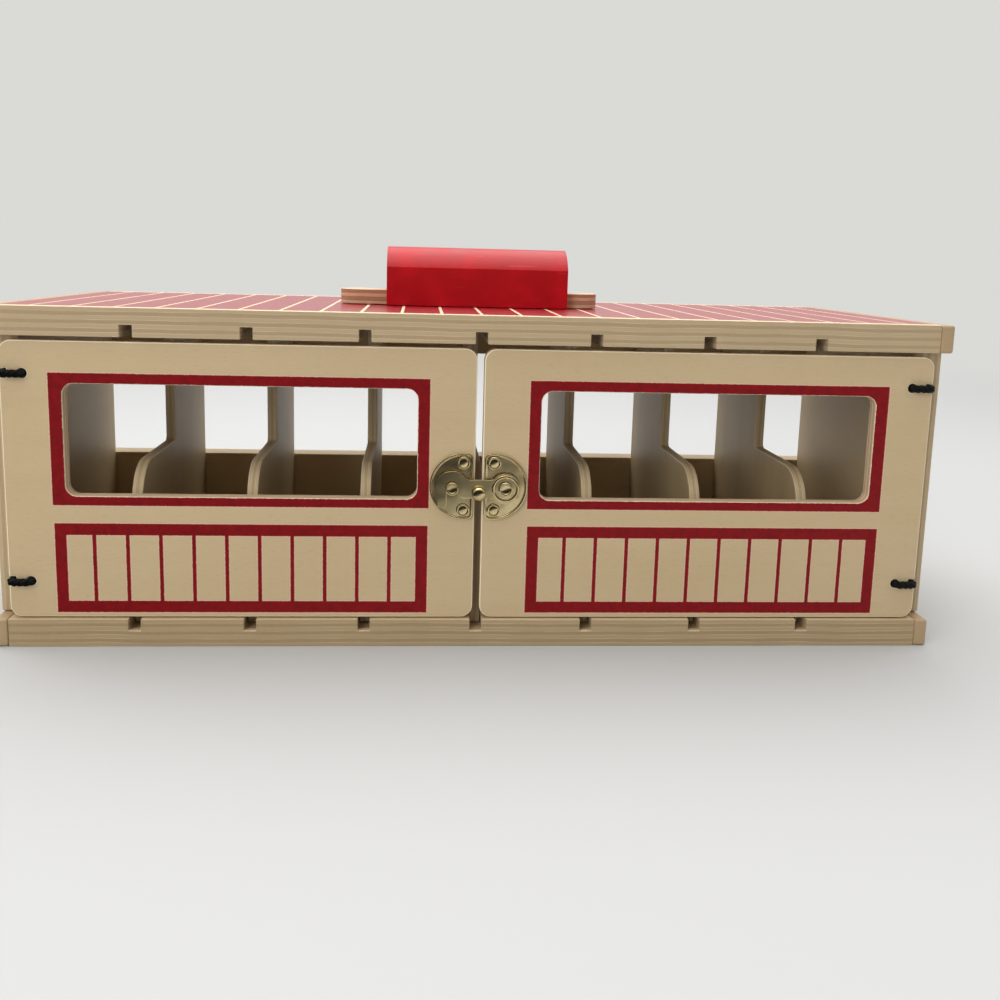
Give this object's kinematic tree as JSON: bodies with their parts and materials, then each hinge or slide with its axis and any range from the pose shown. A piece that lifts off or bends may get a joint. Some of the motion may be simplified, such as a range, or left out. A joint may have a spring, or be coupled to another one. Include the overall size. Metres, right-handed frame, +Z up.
{
  "type": "toy horse stable",
  "caption": "Toy stable of plywood: grooved base and roof, stall dividers, windowed front doors on cord hinges, brass hook latch and handle block.",
  "frame": {"origin": "the middle of the base's underside", "axes": "+X to the right as seen from in front of the doors, -Y out through the doors, +Z up"},
  "size_m": [0.3194, 0.1306, 0.1349],
  "materials": {
    "plywood": "satin clear coat",
    "end_strip_wood": "satin clear coat",
    "red_roof_wood": "satin red paint over plywood",
    "red_block_wood": "gloss red paint over wood",
    "pale_brass": "bright plated",
    "zinc_steel": "zinc plated",
    "black_cord": "braided cord"
  },
  "bodies": {
    "stable": {"base_board": "plywood", "base_end_strip_left": "end_strip_wood", "base_end_strip_right": "end_strip_wood", "roof_board": "red_roof_wood", "roof_end_strip_left": "end_strip_wood", "roof_end_strip_right": "end_strip_wood", "left_side_panel": "plywood", "right_side_panel": "plywood", "back_panel": "plywood", "back_rail": "plywood", "stall_divider_1": "plywood", "stall_divider_2": "plywood", "stall_divider_3": "plywood", "stall_divider_4": "plywood", "stall_divider_5": "plywood", "stall_divider_6": "plywood", "stall_divider_7": "plywood", "handle_strip": "plywood", "handle_block": "red_block_wood", "handle_screw_left": "zinc_steel", "handle_screw_right": "zinc_steel", "left_cord_anchor_lower": "black_cord", "left_cord_anchor_upper": "black_cord", "right_cord_anchor_lower": "black_cord", "right_cord_anchor_upper": "black_cord"},
    "left_door": {"left_door_panel": "plywood", "left_hinge_cord_lower": "black_cord", "left_hinge_cord_upper": "black_cord", "keeper_plate": "pale_brass", "keeper_nail_lower": "pale_brass", "keeper_nail_upper": "pale_brass", "keeper_post": "pale_brass"},
    "right_door": {"right_door_panel": "plywood", "right_hinge_cord_lower": "black_cord", "right_hinge_cord_upper": "black_cord", "pivot_plate": "pale_brass", "pivot_nail_lower": "pale_brass", "pivot_nail_upper": "pale_brass", "pivot_rivet": "pale_brass"},
    "hook": {"latch_arm": "pale_brass", "latch_knob": "pale_brass"}
  },
  "joints": [
    {"name": "left_door_swing", "type": "hinge", "parent": "stable", "child": "left_door", "pos_m": [-0.1547, -0.0563, 0.0559], "axis": [0, 0, -1], "range_deg": [0, 90]},
    {"name": "right_door_swing", "type": "hinge", "parent": "stable", "child": "right_door", "pos_m": [0.1547, -0.0563, 0.0559], "axis": [0, 0, 1], "range_deg": [0, 90]},
    {"name": "hook_lift", "type": "hinge", "parent": "right_door", "child": "hook", "pos_m": [0.00895, -0.06415, 0.0554], "axis": [0, 1, 0], "range_deg": [0, 110]}
  ]
}
